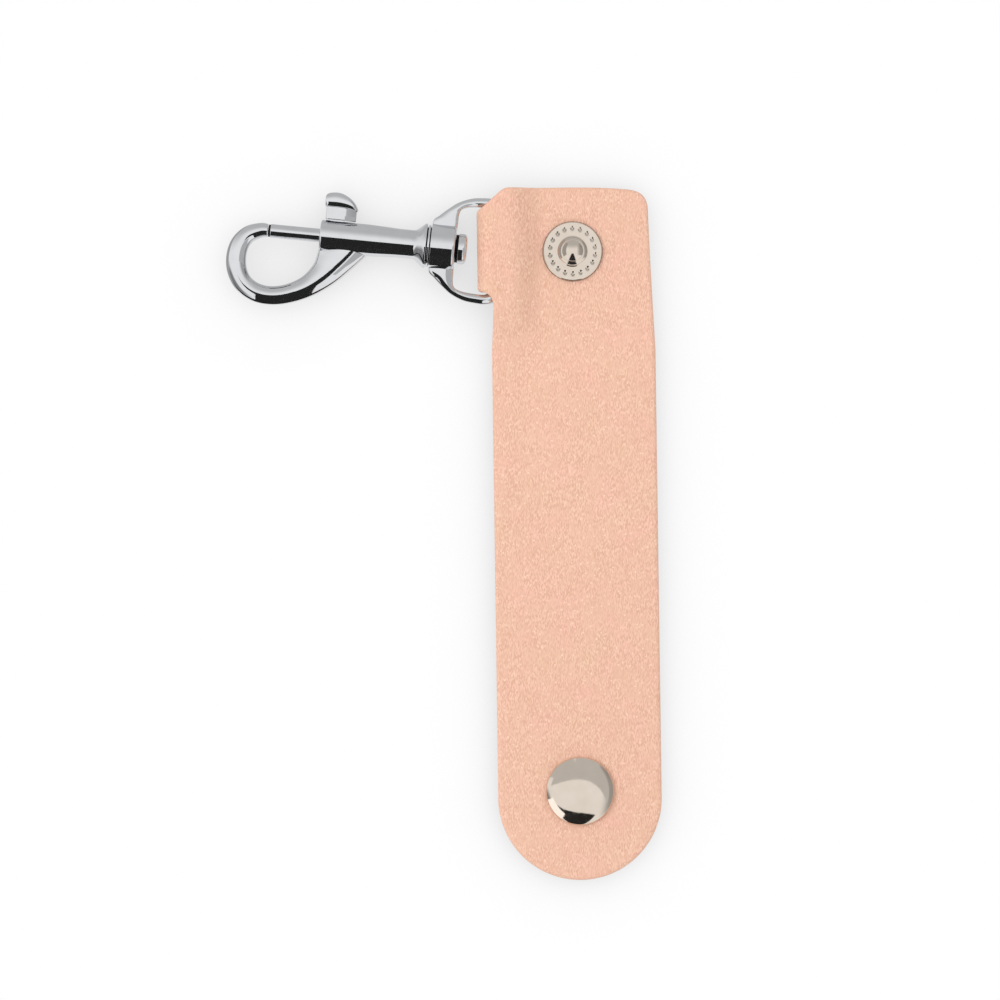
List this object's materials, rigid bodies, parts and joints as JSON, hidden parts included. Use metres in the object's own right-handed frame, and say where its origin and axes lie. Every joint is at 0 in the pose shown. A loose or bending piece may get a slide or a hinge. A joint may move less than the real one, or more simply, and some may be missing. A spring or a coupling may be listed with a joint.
{
  "type": "leather keychain",
  "caption": "Leather strap that curls round and snaps shut as a loop, with a swivel bolt hook on a folded side tab.",
  "frame": {"origin": "on the snap stud's axis, at the flat head of its post, which lies on the table", "axes": "+X across the strap away from the hook, +Y up the strap to the stud end, +Z out of the strap's front face"},
  "size_m": [0.0786, 0.1272, 0.0082],
  "materials": {
    "leather": "peach grained leather with a soft satin face",
    "nickel": "nickel-plated pressed brass, bright and slightly warm",
    "chrome": "chrome-plated zinc casting, mirror bright",
    "spring_steel": "drawn spring wire"
  },
  "bodies": {
    "head": {"strap_head": "leather", "snap_stud": "nickel", "stud_post": "nickel"},
    "eye": {"swivel_eye": "chrome"},
    "hook": {"hook_body": "chrome", "swivel_pin": "chrome", "swivel_washer": "chrome", "plunger_spring": "spring_steel"},
    "plunger": {"plunger": "chrome", "thumb_tab": "chrome"},
    "link_01": {"strap_link_01": "leather"},
    "link_02": {"strap_link_02": "leather"},
    "link_03": {"strap_link_03": "leather"},
    "link_04": {"strap_link_04": "leather"},
    "link_05": {"strap_link_05": "leather"},
    "link_06": {"strap_link_06": "leather"},
    "link_07": {"strap_link_07": "leather"},
    "link_08": {"strap_link_08": "leather"},
    "link_09": {"strap_link_09": "leather"},
    "link_10": {"strap_link_10": "leather"},
    "tip": {"strap_tip": "leather", "snap_cap": "nickel", "cap_post": "nickel", "snap_socket": "nickel", "socket_spring": "spring_steel"}
  },
  "joints": [
    {"name": "eye_swing", "type": "hinge", "parent": "head", "child": "eye", "pos_m": [-0.0138, 0, 0.00415], "axis": [-0.1097, -0.994, 0], "range_deg": [-3, 70]},
    {"name": "hook_swivel", "type": "hinge", "parent": "eye", "child": "hook", "pos_m": [-0.0138, 0, 0.00415], "axis": [0.994, -0.1097, 0], "continuous": true},
    {"name": "plunger_slide", "type": "slide", "parent": "hook", "child": "plunger", "axis": [0.994, -0.1097, 0], "range_m": [0, 0.0075], "stiffness_N_per_m": 250, "springref_m": -0.004, "deforming": ["plunger_spring"]},
    {"name": "strap_curl_01", "type": "hinge", "parent": "head", "child": "link_01", "pos_m": [0, -0.018, 0.00275], "axis": [1, 0, 0], "range_deg": [0, 64.28]},
    {"name": "strap_curl_02", "type": "hinge", "parent": "link_01", "child": "link_02", "pos_m": [0, -0.0247, 0.00275], "axis": [1, 0, 0], "range_deg": [-0.5, 53.72]},
    {"name": "strap_curl_03", "type": "hinge", "parent": "link_02", "child": "link_03", "pos_m": [0, -0.0314, 0.00275], "axis": [1, 0, 0], "range_deg": [-0.5, 37.07]},
    {"name": "strap_curl_04", "type": "hinge", "parent": "link_03", "child": "link_04", "pos_m": [0, -0.0381, 0.00275], "axis": [1, 0, 0], "range_deg": [-0.5, 20.43]},
    {"name": "strap_curl_05", "type": "hinge", "parent": "link_04", "child": "link_05", "pos_m": [0, -0.0448, 0.00275], "axis": [1, 0, 0], "range_deg": [-0.5, 9.37]},
    {"name": "strap_curl_06", "type": "hinge", "parent": "link_05", "child": "link_06", "pos_m": [0, -0.0515, 0.00275], "axis": [1, 0, 0], "range_deg": [-0.5, 7.34]},
    {"name": "strap_curl_07", "type": "hinge", "parent": "link_06", "child": "link_07", "pos_m": [0, -0.0582, 0.00275], "axis": [1, 0, 0], "range_deg": [-0.5, 14.34]},
    {"name": "strap_curl_08", "type": "hinge", "parent": "link_07", "child": "link_08", "pos_m": [0, -0.0649, 0.00275], "axis": [1, 0, 0], "range_deg": [-0.5, 26.93]},
    {"name": "strap_curl_09", "type": "hinge", "parent": "link_08", "child": "link_09", "pos_m": [0, -0.0716, 0.00275], "axis": [1, 0, 0], "range_deg": [-0.5, 39.51]},
    {"name": "strap_curl_10", "type": "hinge", "parent": "link_09", "child": "link_10", "pos_m": [0, -0.0783, 0.00275], "axis": [1, 0, 0], "range_deg": [-0.5, 46.51]},
    {"name": "snap_press", "type": "hinge", "parent": "link_10", "child": "tip", "pos_m": [0, -0.085, 0.00275], "axis": [1, 0, 0], "range_deg": [0, 45]}
  ],
  "couplings": [
    {"joint": "strap_curl_02", "follows": "strap_curl_01", "ratio": 0.82792},
    {"joint": "strap_curl_03", "follows": "strap_curl_01", "ratio": 0.56901},
    {"joint": "strap_curl_04", "follows": "strap_curl_01", "ratio": 0.31009},
    {"joint": "strap_curl_05", "follows": "strap_curl_01", "ratio": 0.13801},
    {"joint": "strap_curl_06", "follows": "strap_curl_01", "ratio": 0.10644},
    {"joint": "strap_curl_07", "follows": "strap_curl_01", "ratio": 0.21537},
    {"joint": "strap_curl_08", "follows": "strap_curl_01", "ratio": 0.41114},
    {"joint": "strap_curl_09", "follows": "strap_curl_01", "ratio": 0.6069},
    {"joint": "strap_curl_10", "follows": "strap_curl_01", "ratio": 0.71583}
  ]
}
